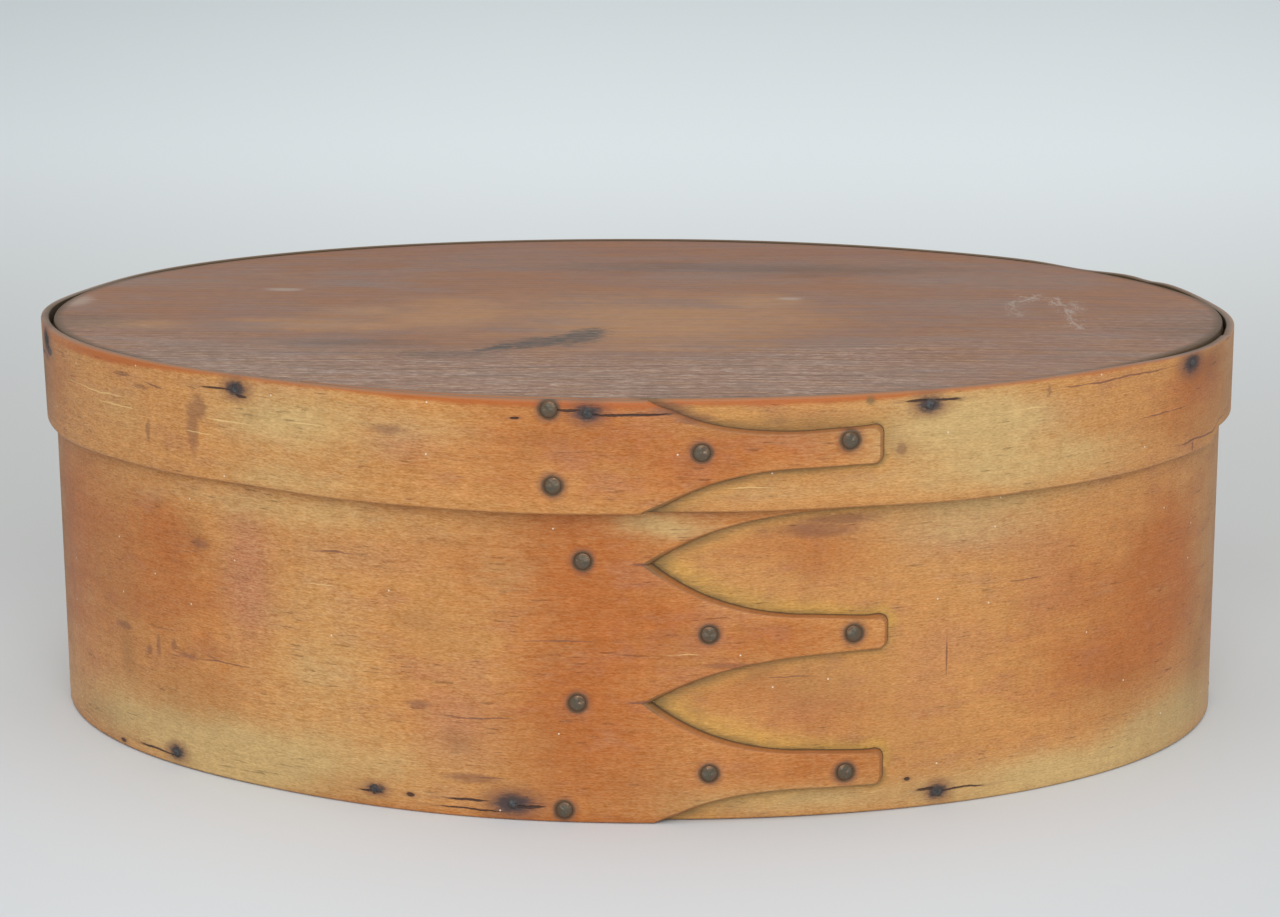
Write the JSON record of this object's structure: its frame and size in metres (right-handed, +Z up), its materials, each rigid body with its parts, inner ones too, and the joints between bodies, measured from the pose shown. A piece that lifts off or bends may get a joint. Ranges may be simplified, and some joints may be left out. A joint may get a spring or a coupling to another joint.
{
  "type": "oval bentwood box",
  "caption": "Oval bentwood box with a lift-off lid: lapped maple bands with tacked swallowtail fingers, and pine boards nailed into the bottom and the lid.",
  "frame": {"origin": "middle of the overall footprint, on the flat face that the box stands on", "axes": "+X along the box, the way the fingers point; +Z up, the way the lid lifts; the lapped front faces -Y"},
  "size_m": [0.3, 0.2166, 0.0996],
  "materials": {
    "maple_band": "old thin varnish, honey orange, worn paler on edges and where hands hold it",
    "pine_board": "bare weathered pine, reddish to grey brown, dull",
    "copper_tack": "tarnished copper, dark brown, dull",
    "iron_nail": "rust-blackened iron, rough"
  },
  "bodies": {
    "box": {"side_band": "maple_band", "bottom_board": "pine_board", "box_root_tack_1": "copper_tack", "box_root_tack_2": "copper_tack", "box_root_tack_3": "copper_tack", "box_root_tack_4": "copper_tack", "box_neck_tack_1": "copper_tack", "box_neck_tack_2": "copper_tack", "box_neck_tack_3": "copper_tack", "box_tip_tack_1": "copper_tack", "box_tip_tack_2": "copper_tack", "box_tip_tack_3": "copper_tack", "bottom_nail_01": "iron_nail", "bottom_nail_02": "iron_nail", "bottom_nail_03": "iron_nail", "bottom_nail_04": "iron_nail", "bottom_nail_05": "iron_nail", "bottom_nail_06": "iron_nail", "bottom_nail_07": "iron_nail", "bottom_nail_08": "iron_nail", "bottom_nail_09": "iron_nail", "bottom_nail_10": "iron_nail"},
    "lid": {"lid_band": "maple_band", "lid_board": "pine_board", "lid_root_tack_1": "copper_tack", "lid_root_tack_2": "copper_tack", "lid_neck_tack": "copper_tack", "lid_tip_tack": "copper_tack", "lid_nail_01": "iron_nail", "lid_nail_02": "iron_nail", "lid_nail_03": "iron_nail", "lid_nail_04": "iron_nail", "lid_nail_05": "iron_nail", "lid_nail_06": "iron_nail", "lid_nail_07": "iron_nail", "lid_nail_08": "iron_nail", "lid_nail_09": "iron_nail", "lid_nail_10": "iron_nail"}
  },
  "joints": [
    {"name": "lid_lift", "type": "slide", "parent": "box", "child": "lid", "axis": [0, 0, 1], "range_m": [0, 0.12]}
  ]
}
